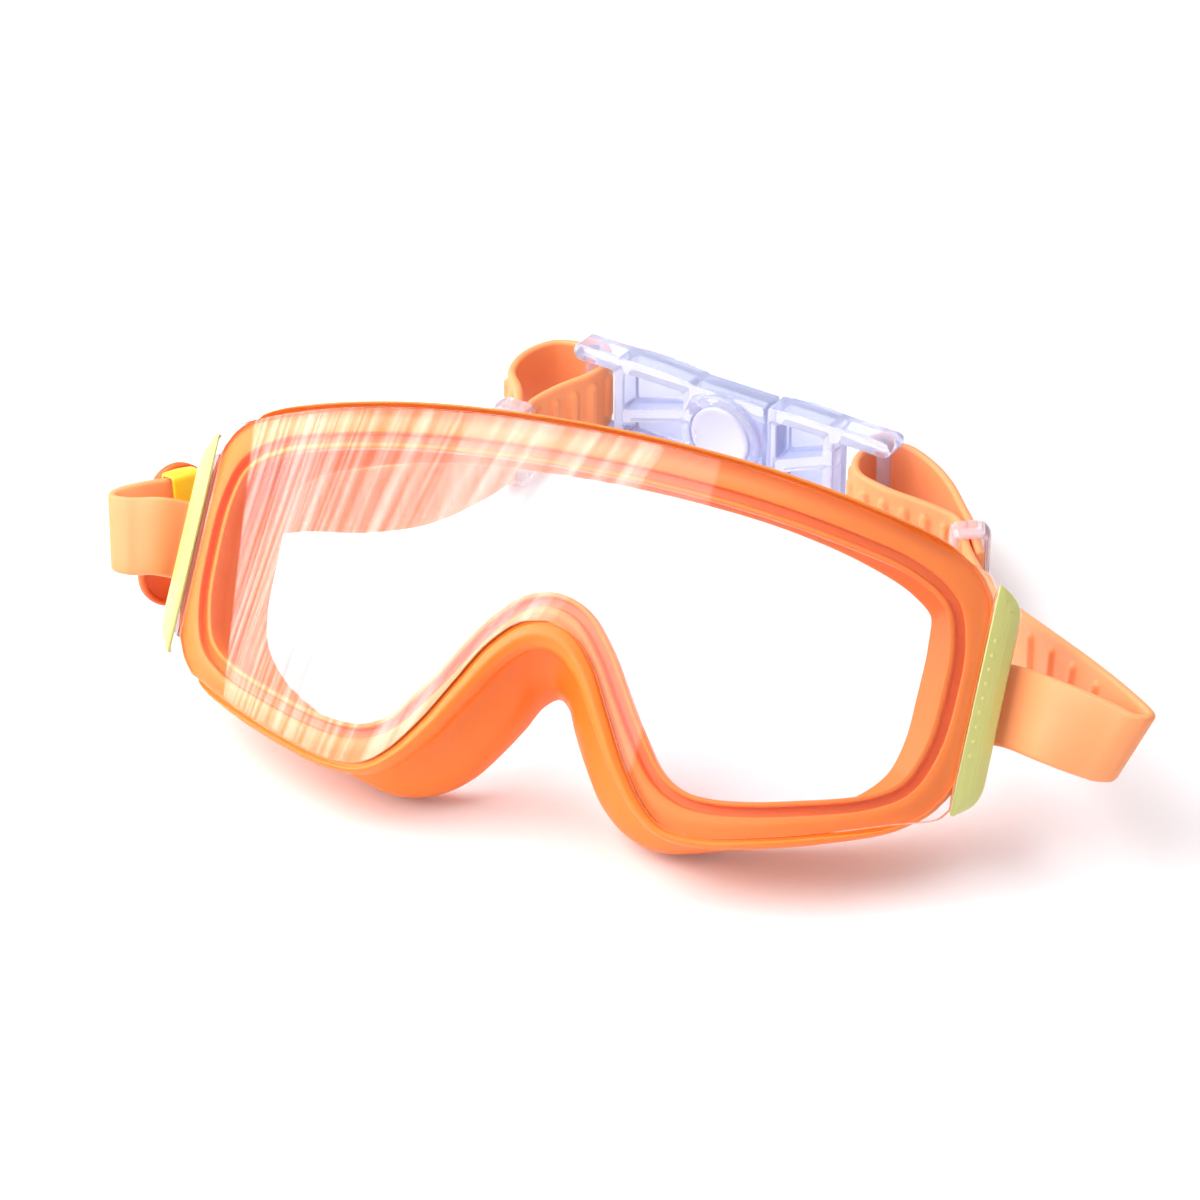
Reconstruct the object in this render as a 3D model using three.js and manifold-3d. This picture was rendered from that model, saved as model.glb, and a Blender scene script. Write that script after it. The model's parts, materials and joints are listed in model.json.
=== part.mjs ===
// Swim goggles: one wrap lens over both eyes, a silicone face skirt behind it, a clip at each lens end,
// and a two-piece silicone strap that closes behind the head with a press-button buckle.
// Millimetres. +X is to the viewer's right, +Y goes back from the lens, +Z is up from the table.
import * as THREE from 'three';
import { mergeVertices } from 'three/addons/utils/BufferGeometryUtils.js';
import { ParametricGeometry } from 'three/addons/geometries/ParametricGeometry.js';
import Module from 'manifold-3d';

const wasm = await Module();
wasm.setup();

// ---------------------------------------------------------------- driving dimensions
const LENS_HALF = 75; // half the lens width, along the face
const LENS_THICK = 2;
const WRAP_SOFT = 7.51; // how far the lens ends sit behind its middle: square term
const WRAP_HARD = 8.04; // and fourth-power term, which gives the tighter bend at the temples
const MASK_LEAN = THREE.MathUtils.degToRad(39.2); // the mask rests leaning back on its cheek lobes
const MASK_LIFT = 44; // height of the lens origin over the table
const GAP = 0.35; // clearance between neighbouring pieces
const BEAD_GAP = 0.55; // clearance between the lens edge and the skirt bead round it

const RIM_DEPTH = 4.7; // back of the lens rim that plugs into the skirt
const LIP_WALL = 1; // skirt lip inside the lens rim
const RIM_WALL = 1;
const FLANGE_BACK = 4.2;

const CLIP_OUT = 79.5; // outer edge of a clip
const CLIP_THICK = 2.2;
const BASE_BACK = 4.2; // back of the clip base, behind the lens front
const PIN_X = 76.3;
const PIN_BACK = 24.2;
const PIN_RADIUS = 1.1;

const STRAP_WIDTH = 14.8;
const STRAP_THICK = 2;

const SLIDE_LONG = 6.4;
const SLIDE_SLOT = 3.7;
const SLIDE_WALL = 1;
const STEM_LONG = 1.5;
const STEM_RADIUS = 2.1;
const STEM_AT = -0.8; // the stem's place along its slide, from the middle
const STEM_DROP = 4.8; // how far the stem sits below the middle of its slide
const TAB_SPAN = 15.4; // between the middles of the tab's two round ends
const TAB_RADIUS = 6.2;
const TAB_THICK = 2.6;
const TAB_TILT = THREE.MathUtils.degToRad(15);

const BUCKLE_AT = new THREE.Vector3(-5, 117, 0);
const BUCKLE_YAW = THREE.MathUtils.degToRad(-13);
const BUCKLE_TALL = 22.4;
const BAR_AT = 34.5; // distance of each strap bar from the buckle's middle
const BAR_RADIUS = 1.5;
const SOCKET_END = 27.5; // where the solid part of each buckle half ends and its strap slot begins
const PLUG_END = 24.5;
const RING_AT = -1.2;
const RING_MID = 12;
const RING_RADIUS = 9.2;
const BUTTON_RADIUS = 6.75;
const SPLIT_AT = 8.8; // where the two buckle halves meet

// ---------------------------------------------------------------- materials
function plastic(name, color, roughness) {
  return new THREE.MeshStandardMaterial({ name, color, roughness, metalness: 0 });
}

// ---------------------------------------------------------------- solid helpers
function toSolid(geometry) {
  const bare = geometry.index ? geometry.toNonIndexed() : geometry.clone();
  bare.deleteAttribute('normal');
  bare.deleteAttribute('uv');
  const merged = mergeVertices(bare, 1e-4);
  return new wasm.Manifold(new wasm.Mesh({
    numProp: 3,
    vertProperties: new Float32Array(merged.attributes.position.array),
    triVerts: new Uint32Array(merged.index.array),
  }));
}

function toGeometry(solid) {
  const mesh = solid.getMesh();
  const geometry = new THREE.BufferGeometry();
  geometry.setAttribute('position', new THREE.BufferAttribute(new Float32Array(mesh.vertProperties), 3));
  geometry.setIndex(new THREE.BufferAttribute(new Uint32Array(mesh.triVerts), 1));
  geometry.computeVertexNormals();
  return geometry;
}

function union(solids) {
  return solids.reduce((whole, next) => whole.add(next));
}

function piece(name, geometry, material) {
  const mesh = new THREE.Mesh(geometry, material);
  mesh.name = name;
  return mesh;
}

// A box given by its two corners.
function block(x0, x1, y0, y1, z0, z1) {
  const box = new THREE.BoxGeometry(x1 - x0, y1 - y0, z1 - z0);
  box.translate((x0 + x1) / 2, (y0 + y1) / 2, (z0 + z1) / 2);
  return toSolid(box);
}

// A cylinder along Z.
function post(x, y, z0, z1, radius, sides = 24) {
  const cylinder = new THREE.CylinderGeometry(radius, radius, z1 - z0, sides);
  cylinder.rotateX(Math.PI / 2);
  cylinder.translate(x, y, (z0 + z1) / 2);
  return toSolid(cylinder);
}

// A cylinder along Y.
function drum(x, z, y0, y1, radius, sides = 40) {
  const cylinder = new THREE.CylinderGeometry(radius, radius, y1 - y0, sides);
  cylinder.translate(x, (y0 + y1) / 2, z);
  return toSolid(cylinder);
}

// An outline in X and Z, pushed along Y from y0 to y1.
function prism(shape, y0, y1) {
  const options = { depth: y1 - y0, bevelEnabled: false, curveSegments: 8 };
  const extruded = new THREE.ExtrudeGeometry(shape, options);
  extruded.rotateX(Math.PI / 2);
  extruded.translate(0, y1, 0);
  return toSolid(extruded);
}

// ---------------------------------------------------------------- lens wrap
// How far back the lens front lies at a distance x from its middle; straight beyond the lens ends.
function wrap(x) {
  const u = Math.abs(x) / LENS_HALF;
  if (u <= 1) return WRAP_SOFT * u ** 2 + WRAP_HARD * u ** 4;
  const endSlope = 2 * WRAP_SOFT + 4 * WRAP_HARD;
  return WRAP_SOFT + WRAP_HARD + endSlope * (u - 1);
}

// A slab that follows the wrap, from `front` to `back` behind it.
function wrapSlab(front, back) {
  const slab = new THREE.BoxGeometry(2 * CLIP_OUT + 10, back - front, 100, 44, 1, 1);
  const position = slab.attributes.position;
  for (let i = 0; i < position.count; i += 1) {
    const y = position.getY(i) + (front + back) / 2;
    position.setY(i, y + wrap(position.getX(i)));
  }
  return toSolid(slab);
}

// ---------------------------------------------------------------- mask outlines
// Each table runs down the right half from the middle of the brow, round the temple and the cheek lobe,
// to the top of the nose notch. Rows of the four tables belong together, so the outlines can be joined.
const LENS_EDGE = [
  [0, 30.1], [18, 29.6], [36, 28.1], [54, 25.2], [66, 22.3], [73, 18], [75, 10], [75, -2], [75, -14],
  [73, -21.8], [66, -27.4], [54, -32], [44.5, -34.9], [35.5, -36.8], [28.7, -36.3], [24.2, -33.1],
  [19, -26.3], [14.7, -19], [9.8, -10.9], [4.9, -6.2], [0, -4.9],
];
const LIP_EDGE = [
  [0, 22.9], [16, 22.5], [33, 21.2], [49.5, 18.8], [60, 16.4], [66.4, 12.6], [68.6, 6.5], [69, -3],
  [68.2, -12.5], [65.5, -19.5], [60.2, -23.2], [49, -26.9], [41.8, -28.7], [35.6, -29.6], [30.6, -29.3],
  [26.2, -27], [21, -20.6], [17, -14.6], [12.2, -7.4], [6.4, -1.4], [0, 0.6],
];
const MID_WALL = [
  [0, 29.6], [18, 29], [36, 27.3], [53, 24], [64, 20], [69.6, 15.6], [70.8, 8], [70.8, -2], [70.4, -12],
  [68, -20.5], [61, -27.5], [51, -32.6], [41, -36.2], [31.5, -39.6], [24.5, -40.9], [18.3, -38.9],
  [13, -34.6], [9, -28.8], [5.4, -22.6], [2.8, -17.6], [0, -15.6],
];
const REAR_EDGE = [
  [0, 27.5], [17, 27], [34, 25.4], [50, 22], [60, 18], [65.2, 13.4], [66.3, 6.5], [66.3, -3], [65.8, -12.5],
  [63.5, -20], [57.5, -26.6], [48.5, -31.6], [39.5, -35.3], [31, -38.5], [24.4, -39.5], [18, -38.1],
  [12.6, -34.3], [8.6, -29.4], [5, -23.9], [2.5, -19.4], [0, -17.6],
];
// How far the skirt reaches past the lens edge at the same rows: a thin bead along the brow, nothing at the
// clips, and a wide bead over the nose.
const BEAD_REACH = [
  1.4, 1.4, 1.4, 1.4, 0.6, -0.8, -1, -1, -1, -0.8, 0.6, 1.6, 1.6, 1.7, 2, 2.5, 3.2, 3.6, 4.2, 4.8, 5,
];

// A closed outline through a half table and its mirror image.
function closedOutline(half) {
  const right = half.map(([x, z]) => new THREE.Vector3(x, 0, z));
  const left = half.slice(1, -1).reverse().map(([x, z]) => new THREE.Vector3(-x, 0, z));
  return new THREE.CatmullRomCurve3([...right, ...left], true, 'centripetal');
}

// The value of a half table of numbers at a place u round the closed outline.
function aroundOutline(half, u) {
  const steps = 2 * (half.length - 1);
  const at = (u % 1) * steps;
  const row = (i) => half[i % steps < half.length ? i % steps : steps - (i % steps)];
  const low = Math.floor(at);
  return THREE.MathUtils.lerp(row(low), row(low + 1), at - low);
}

// Outward direction in X and Z of an outline that runs from the brow to the viewer's right.
function outward(outline, u) {
  const along = outline.getTangent(u % 1);
  return new THREE.Vector3(along.z, 0, -along.x).multiplyScalar(-1);
}

function offsetPoint(outline, u, distance) {
  return outline.getPoint(u % 1).addScaledVector(outward(outline, u), distance);
}

const lipOutline = closedOutline(LIP_EDGE);
const edgeOutline = closedOutline(LENS_EDGE);
const midOutline = closedOutline(MID_WALL);
const rearOutline = closedOutline(REAR_EDGE);
const OUTLINE_STEPS = 80;

// A shape whose edge stands `distance` outside the skirt's lip.
function lipShape(distance) {
  const points = [];
  for (let i = 0; i < OUTLINE_STEPS; i += 1) {
    const point = offsetPoint(lipOutline, i / OUTLINE_STEPS, distance);
    points.push(new THREE.Vector2(point.x, point.z));
  }
  return new THREE.Shape(points);
}

// ---------------------------------------------------------------- lens
function browEdge(x) {
  const u = x / LENS_HALF;
  return 30.14 - 8.17 * u ** 2 - 2.97 * u ** 4 + 0.32 * u ** 8;
}

function lensShape() {
  const brow = [];
  for (let i = 0; i < 12; i += 1) {
    const x = ((LENS_HALF - 1.6) * i) / 11;
    brow.push(new THREE.Vector2(x, browEdge(x)));
  }
  const temple = [new THREE.Vector2(LENS_HALF, 17.8), new THREE.Vector2(LENS_HALF, -22.6)];
  const cheek = [[73.4, -24.5], ...LENS_EDGE.slice(10)].map(([x, z]) => new THREE.Vector2(x, z));
  const lower = new THREE.SplineCurve(cheek).getPoints(44);
  const right = [...brow, ...temple, ...lower];
  const left = right.slice(1, -1).reverse().map((point) => new THREE.Vector2(-point.x, point.y));
  return new THREE.Shape([...right, ...left]);
}

function lens() {
  const plate = wrapSlab(0, LENS_THICK).intersect(prism(lensShape(), -5, 40));
  const rimOuter = prism(lipShape(LIP_WALL + GAP + RIM_WALL), -5, 40);
  const rimInner = prism(lipShape(LIP_WALL + GAP), -6, 41);
  const rim = wrapSlab(LENS_THICK - 0.2, RIM_DEPTH).intersect(rimOuter.subtract(rimInner));
  const geometry = toGeometry(plate.add(rim));
  return piece('lens', geometry, plastic('clear_polycarbonate', 0xe8e8ee, 0.05));
}

// ---------------------------------------------------------------- skirt
function wallBack(x) {
  return 13 + 10.5 * (x / 70.8) ** 2;
}

function sealBack(x) {
  return 20 + 8 * (x / 66.3) ** 2;
}

// The corners of the skirt's cross-section at a place u round the outline, in order round the section.
function skirtSection(u) {
  const reach = aroundOutline(BEAD_REACH, u);
  const raised = THREE.MathUtils.smoothstep(reach, 0.7, 1.3);
  const beadFront = LENS_THICK + GAP - 1.7 * raised;
  const beadInner = Math.min(BEAD_GAP, reach - 0.5);
  const behindLens = (outline, distance, depth) => {
    const point = offsetPoint(outline, u, distance);
    point.y = wrap(point.x) + depth;
    return point;
  };
  const atBack = (outline, distance, back, extra) => {
    const point = offsetPoint(outline, u, distance);
    point.y = back(point.x) + extra;
    return point;
  };
  const grooveOuter = LIP_WALL + RIM_WALL + 2 * GAP;
  const grooveFloor = RIM_DEPTH + GAP;
  return [
    behindLens(lipOutline, grooveOuter, grooveFloor),
    behindLens(lipOutline, grooveOuter, LENS_THICK + GAP),
    behindLens(edgeOutline, beadInner, LENS_THICK + GAP),
    behindLens(edgeOutline, beadInner, beadFront),
    behindLens(edgeOutline, (beadInner + reach) / 2, beadFront - 0.5 * raised),
    behindLens(edgeOutline, reach, beadFront + 0.6),
    behindLens(edgeOutline, reach, FLANGE_BACK),
    behindLens(edgeOutline, reach - 1, FLANGE_BACK + 2.4),
    atBack(midOutline, 0, wallBack, 0),
    atBack(rearOutline, 0, sealBack, 0),
    atBack(rearOutline, -4, sealBack, 1),
    atBack(rearOutline, -4, sealBack, -0.4),
    atBack(midOutline, -2.2, wallBack, 1),
    behindLens(lipOutline, 0, 6.5),
    behindLens(lipOutline, 0, LENS_THICK + 3 * GAP),
    behindLens(lipOutline, LIP_WALL, LENS_THICK + 3 * GAP),
    behindLens(lipOutline, LIP_WALL, grooveFloor),
  ];
}

function skirt() {
  const corners = skirtSection(0).length;
  const sections = [];
  for (let i = 0; i < OUTLINE_STEPS; i += 1) sections.push(skirtSection(i / OUTLINE_STEPS));
  const place = (u, v, target) => {
    const station = Math.round(u * OUTLINE_STEPS) % OUTLINE_STEPS;
    const corner = Math.round(v * corners) % corners;
    target.copy(sections[station][corner]);
  };
  const ring = new ParametricGeometry(place, OUTLINE_STEPS, corners);
  return piece('skirt', toGeometry(toSolid(ring)), plastic('orange_silicone', 0xf07a24, 0.45));
}

// ---------------------------------------------------------------- clips (side is -1 left, +1 right)
function mirrored(points, side) {
  const shape = points.map(([x, z]) => new THREE.Vector2(side * x, z));
  return new THREE.Shape(side > 0 ? shape : shape.reverse());
}

// Yellow-green cover: a strip flush with the lens front, beside the lens end.
function clipCover(side) {
  const inner = LENS_HALF + GAP;
  const outline = [
    [inner, 18.6], [77.4, 17.4], [79, 15.6], [CLIP_OUT, 13.4], [CLIP_OUT, -17.6], [78.8, -20.2],
    [77, -22.1], [inner, -23.4],
  ];
  return wrapSlab(0, CLIP_THICK).intersect(prism(mirrored(outline, side), -5, 45));
}

// Clear base behind the cover, with two lugs that hold the strap pin.
function clipBase(side) {
  const inner = LENS_HALF - 0.6;
  const outer = CLIP_OUT - 1.5;
  const plateOutline = [[inner, 15], [outer, 12.6], [outer, -17.2], [inner, -20]];
  const plate = wrapSlab(CLIP_THICK + GAP, BASE_BACK).intersect(prism(mirrored(plateOutline, side), -5, 45));
  const lugs = [[8, 11.5], [-15, -11.5]].map(([z0, z1]) => {
    const lug = block(Math.min(side * inner, side * outer), Math.max(side * inner, side * outer),
      19, PIN_BACK + 2.2, z0, z1);
    return lug.subtract(post(side * PIN_X, PIN_BACK, z0 - 1, z1 + 1, PIN_RADIUS + GAP));
  });
  const frontTrim = wrapSlab(CLIP_THICK + GAP, 20);
  return plate.add(union(lugs).intersect(frontTrim));
}

function anchorPin(side) {
  return post(side * PIN_X, PIN_BACK, -14.8, 11.3, PIN_RADIUS, 16);
}

// ---------------------------------------------------------------- straps
// A flat band between a top edge and a bottom edge that run side by side.
function band(top, bottom, stepsPerSpan) {
  const spans = top.length - 1;
  const strip = new THREE.BoxGeometry(1, STRAP_THICK, 1, spans * stepsPerSpan, 1, 1);
  const upper = new THREE.CatmullRomCurve3(top, false, 'centripetal');
  const lower = new THREE.CatmullRomCurve3(bottom, false, 'centripetal');
  const position = strip.attributes.position;
  for (let i = 0; i < position.count; i += 1) {
    const t = THREE.MathUtils.clamp(position.getX(i) + 0.5, 0, 1);
    const high = upper.getPoint(t);
    const low = lower.getPoint(t);
    const across = high.clone().sub(low).normalize();
    const along = upper.getTangent(t).add(lower.getTangent(t)).normalize();
    const normal = across.clone().cross(along).normalize();
    const point = low.lerp(high, position.getZ(i) + 0.5).addScaledVector(normal, position.getY(i));
    position.setXYZ(i, point.x, point.y, point.z);
  }
  return toSolid(strip);
}

// Turns rows of centre x, y, z and a lean of the band's width (x and y over its height) into its edges.
function edges(rows) {
  const top = [];
  const bottom = [];
  rows.forEach(([x, y, z, leanX = 0, leanY = 0]) => {
    const half = new THREE.Vector3(leanX, leanY, 1).normalize().multiplyScalar(STRAP_WIDTH / 2);
    const centre = new THREE.Vector3(x, y, z);
    top.push(centre.clone().add(half));
    bottom.push(centre.clone().sub(half));
  });
  return [top, bottom];
}

const KEEPER_Z = 9.5; // middle height of the strap at its keeper
const LOOP_Z = 10.9; // middle height of the strap where it goes round a buckle bar

// A place in mask coordinates, moved to the resting position on the table.
function onTable(x, back, up) {
  const cos = Math.cos(MASK_LEAN);
  const sin = Math.sin(MASK_LEAN);
  return [x, back * cos + up * sin, up * cos - back * sin + MASK_LIFT];
}

const MASK_LEAN_Y = Math.tan(MASK_LEAN);

// Front layer of the strap, from its eye on the clip pin out to the fold.
function strapEnd(side, foldRows) {
  const start = onTable(side * (PIN_X + 1.2), PIN_BACK - 1, -1.8);
  const second = onTable(side * (PIN_X + 4.6), PIN_BACK - 1.1, -1.8);
  const rows = [[...start, 0, MASK_LEAN_Y], [...second, 0, MASK_LEAN_Y], ...foldRows];
  const layer = band(...edges(rows), 3);
  const eye = post(side * PIN_X, PIN_BACK, -1.8 - STRAP_WIDTH / 2, -1.8 + STRAP_WIDTH / 2, 2.3);
  const hole = post(side * PIN_X, PIN_BACK, -20, 20, PIN_RADIUS + GAP);
  const toTable = new THREE.Matrix4().makeRotationX(-MASK_LEAN);
  toTable.setPosition(0, 0, MASK_LIFT);
  return layer.add(eye.transform(toTable.elements)).subtract(hole.transform(toTable.elements));
}

// Rows of the left strap: fold, return to the keeper, round the left buckle bar, back to the keeper.
const LEFT_FOLD = [
  [-84.6, 14.2, 29.6, -0.15, 0.8], [-88.4, 12.8, 29.5, -0.3, 0.8], [-90, 12.4, 29.5, -0.33, 0.8],
];
const LEFT_STRAP = [
  [-90.9, 12.3, 29.4, -0.34, 0.8], [-92.4, 12.7, 29.4, -0.35, 0.78], [-93.2, 14, 29.4, -0.36, 0.74],
  [-92.6, 15.6, 29.3, -0.34, 0.68], [-89.2, 19.6, 29, -0.25, 0.44],
  [-83.2, 27.2, 27.6, -0.15, 0.2], [-75, 38.4, 25, -0.08, 0.08], [-68.2, 47, 22.3], [-60.8, 55.6, 18.6],
  [-53, 69, 14.4], [-48.8, 85, 11], [-46.4, 97.3, KEEPER_Z], [-45.2, 104, KEEPER_Z], [-44.5, 108, KEEPER_Z],
  [-41.6, 113, 10.1], [-37.4, 118.4, 10.7], [-35.5, 122.6, LOOP_Z], [-35.7, 126, LOOP_Z],
  [-38.2, 128.1, LOOP_Z], [-42.4, 130, 10.8], [-48.8, 129.5, 10.5], [-53, 124, 10.2], [-53.4, 116.6, 9.8],
  [-49.7, 110.6, KEEPER_Z], [-47.6, 104.6, KEEPER_Z], [-48.6, 98.4, KEEPER_Z], [-49.4, 94.4, KEEPER_Z],
];
const LEFT_SLIDE_ROW = 4.85;
const LEFT_KEEPER_ROW = 11.5;
const RIGHT_FOLD = [
  [89, 12, 29.9, 0.08, 0.66], [98.8, 10.1, 29.1, 0.34, 0.36], [100.9, 9.8, 28.8, 0.41, 0.28],
];
const RIGHT_STRAP = [
  [101.8, 9.8, 28.7, 0.42, 0.26], [103.1, 10.3, 28.7, 0.44, 0.24], [103.7, 11.6, 28.6, 0.44, 0.22],
  [102.9, 13, 28.5, 0.42, 0.21], [97.6, 19, 27.9, 0.3, 0.17],
  [89, 29.6, 25.6, 0.12, 0.08], [80, 41, 22.4], [70.4, 52.4, 18.8], [62, 65.4, 14.8], [56.2, 77, 11.2],
  [52.6, 84.7, KEEPER_Z], [50.2, 90, KEEPER_Z], [48, 93.2, KEEPER_Z], [42, 95, 10], [32.5, 96.9, 10.6],
  [25.8, 100.4, LOOP_Z], [24, 106.4, LOOP_Z], [26.2, 112, LOOP_Z], [31.6, 113.8, 10.8], [38, 110.2, 10.5],
  [43.8, 104.2, 10.1], [48.6, 97.2, KEEPER_Z], [52.4, 91, KEEPER_Z], [54.9, 85.6, KEEPER_Z],
  [56.5, 82, KEEPER_Z],
];
const RIGHT_KEEPER_ROW = 10.5;

// ---------------------------------------------------------------- keepers and strap slide
// A flat ring round the strap, made about its own middle: length along X, thickness along Y, height along Z.
function strapRing(long, inThick, inTall, wall) {
  const outer = block(-long / 2, long / 2, -inThick / 2 - wall, inThick / 2 + wall,
    -inTall / 2 - wall, inTall / 2 + wall);
  const inner = block(-long, long, -inThick / 2, inThick / 2, -inTall / 2, inTall / 2);
  return outer.subtract(inner);
}

// Turns and moves a mesh onto the strap, at a place counted in rows along it.
function onStrap(mesh, rows, row, sideways = 0) {
  const [top, bottom] = edges(rows);
  const t = row / (rows.length - 1);
  const upper = new THREE.CatmullRomCurve3(top, false, 'centripetal');
  const lower = new THREE.CatmullRomCurve3(bottom, false, 'centripetal');
  const across = upper.getPoint(t).sub(lower.getPoint(t)).normalize();
  const along = upper.getTangent(t).add(lower.getTangent(t)).normalize();
  const normal = across.clone().cross(along).normalize();
  const centre = upper.getPoint(t).lerp(lower.getPoint(t), 0.5).addScaledVector(normal, sideways);
  const turn = new THREE.Matrix4().makeBasis(normal.clone().cross(across), normal, across);
  mesh.applyMatrix4(turn.setPosition(centre));
  return mesh;
}

// Slotted slide: a ring round the strap with a round stem on its outer face.
function strapSlide() {
  const ring = strapRing(SLIDE_LONG, SLIDE_SLOT, STRAP_WIDTH + 1, SLIDE_WALL);
  const face = SLIDE_SLOT / 2 + SLIDE_WALL;
  return ring.add(drum(STEM_AT, -STEM_DROP, face - 0.2, face + STEM_LONG, STEM_RADIUS, 24));
}

// Round-ended tab with a pocket on its strap side for the stem; its top leans along the strap.
function slideTab() {
  const face = SLIDE_SLOT / 2 + SLIDE_WALL + GAP;
  const reach = new THREE.Vector2(Math.sin(TAB_TILT), Math.cos(TAB_TILT)).multiplyScalar(TAB_SPAN / 2);
  const outline = new THREE.Shape();
  outline.absarc(STEM_AT + reach.x, reach.y - STEM_DROP, TAB_RADIUS, -TAB_TILT, Math.PI - TAB_TILT);
  const lowerStart = Math.PI - TAB_TILT;
  outline.absarc(STEM_AT - reach.x, -reach.y - STEM_DROP, TAB_RADIUS, lowerStart, lowerStart + Math.PI);
  const tab = prism(outline, face, face + TAB_THICK);
  return tab.subtract(drum(STEM_AT, -STEM_DROP, face - 1, face + STEM_LONG, STEM_RADIUS + GAP, 24));
}

// ---------------------------------------------------------------- buckle (own frame: X along, Z up)
// Frame of one strap slot: two arms and the bar the strap goes round. `end` is -1 left, +1 right.
function slotFrame(end, bodyEnd) {
  const near = end * (bodyEnd - 1);
  const far = end * (BAR_AT + 3);
  const [x0, x1] = [Math.min(near, far), Math.max(near, far)];
  const arms = [block(x0, x1, -2.6, 2.6, 0, 2.5), block(x0, x1, -2.6, 2.6, 19.3, BUCKLE_TALL - 1)];
  return union([...arms, post(end * BAR_AT, 0, 1, 20, BAR_RADIUS, 20)]);
}

// Solid wing between the strap slot and the ring, with two windows through it.
function wing(x0, x1) {
  const middle = (x0 + x1) / 2;
  const reach = Math.abs(x1 - x0) / 2;
  const body = block(middle - reach, middle + reach, -3.2, 3.2, 0, BUCKLE_TALL);
  const windows = [[3.4, 9.4], [12.4, 18.8]].map(([z0, z1]) => (
    block(middle - reach + 2.4, middle + reach - 2.4, -5, 5, z0, z1)));
  return body.subtract(union(windows));
}

function buckleSocket() {
  const wingEnd = RING_AT - RING_RADIUS + 2;
  const centre = block(wingEnd - 0.5, SPLIT_AT - GAP, -3.2, 3.2, 0.6, BUCKLE_TALL - 1);
  const ring = drum(RING_AT, RING_MID, -4.4, -3, RING_RADIUS);
  const cavity = block(RING_AT - 8.4, SPLIT_AT + 1, -1.5, 2, RING_MID - 5.6, RING_MID + 5.6);
  const mouth = drum(RING_AT, RING_MID, -6, 0, BUTTON_RADIUS + GAP);
  const whole = union([slotFrame(-1, SOCKET_END), wing(-SOCKET_END, wingEnd), centre, ring]);
  return whole.subtract(cavity).subtract(mouth);
}

function bucklePlug() {
  const body = wing(SPLIT_AT + GAP, PLUG_END);
  const tongue = block(RING_AT - 5.4, SPLIT_AT + 1.5, -0.6, 1.6, RING_MID - 5.2, RING_MID + 5.2);
  return union([slotFrame(1, PLUG_END), body, tongue]);
}

function releaseButton() {
  return drum(RING_AT, RING_MID, -4.6, -2.9, BUTTON_RADIUS);
}

// ---------------------------------------------------------------- assembly
const goggles = new THREE.Group();
const mask = new THREE.Group();
mask.rotation.x = -MASK_LEAN;
mask.position.z = MASK_LIFT;
goggles.add(mask);

mask.add(lens(), skirt());
const SIDES = [['left', -1], ['right', 1]];
SIDES.forEach(([word, side]) => {
  const clipPlastic = plastic('yellow_green_plastic', 0xd8d87a, 0.3);
  mask.add(piece(`clip_${word}`, toGeometry(clipCover(side)), clipPlastic));
  mask.add(piece(`clip_base_${word}`, toGeometry(clipBase(side)), plastic('clear_plastic', 0xdcdce6, 0.1)));
  mask.add(piece(`anchor_pin_${word}`, toGeometry(anchorPin(side)), plastic('steel_pin', 0xb8bcc2, 0.35)));
});

const silicone = () => plastic('peach_orange_silicone', 0xffb874, 0.5);
goggles.add(piece('strap_end_left', toGeometry(strapEnd(-1, LEFT_FOLD)), silicone()));
goggles.add(piece('strap_end_right', toGeometry(strapEnd(1, RIGHT_FOLD)), silicone()));
goggles.add(piece('strap_left', toGeometry(band(...edges(LEFT_STRAP), 4)), silicone()));
goggles.add(piece('strap_right', toGeometry(band(...edges(RIGHT_STRAP), 4)), silicone()));

const buckle = new THREE.Group();
buckle.position.copy(BUCKLE_AT);
buckle.rotation.z = BUCKLE_YAW;
goggles.add(buckle);
const clear = () => plastic('clear_lavender_plastic', 0xcdd0e4, 0.12);
buckle.add(piece('buckle_socket', toGeometry(buckleSocket()), clear()));
buckle.add(piece('buckle_plug', toGeometry(bucklePlug()), clear()));
buckle.add(piece('release_button', toGeometry(releaseButton()), plastic('button_plastic', 0xdfe2ee, 0.1)));

// Each keeper stands midway between the two strap layers that it holds together.
const keeper = () => toGeometry(strapRing(5.6, 5.2, STRAP_WIDTH + 2 * GAP, 1.2));
const LAYER_OFFSET = 1.3;
goggles.add(onStrap(piece('keeper_left', keeper(), clear()), LEFT_STRAP, LEFT_KEEPER_ROW, LAYER_OFFSET));
goggles.add(onStrap(piece('keeper_right', keeper(), clear()), RIGHT_STRAP, RIGHT_KEEPER_ROW, -LAYER_OFFSET));

const slide = piece('strap_slide', toGeometry(strapSlide()), plastic('yellow_plastic', 0xf2cf2a, 0.35));
const tab = piece('slide_tab', toGeometry(slideTab()), plastic('deep_orange_plastic', 0xd05a14, 0.4));
goggles.add(onStrap(slide, LEFT_STRAP, LEFT_SLIDE_ROW));
goggles.add(onStrap(tab, LEFT_STRAP, LEFT_SLIDE_ROW));

// The origin is the middle of the footprint, on the table.
const extent = new THREE.Box3().setFromObject(goggles, true);
const middle = extent.getCenter(new THREE.Vector3());
goggles.position.set(-middle.x, -middle.y, -extent.min.z);

export default goggles;
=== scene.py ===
"""Swim goggles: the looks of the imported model, built around its frame.

Shapes are worked out in millimetres in the same three frames as the solids: the table, the leaning mask and
the buckle. Each frame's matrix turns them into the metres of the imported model.
"""
import json
import math

import bmesh
import bpy
from mathutils import Matrix, Vector


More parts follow.
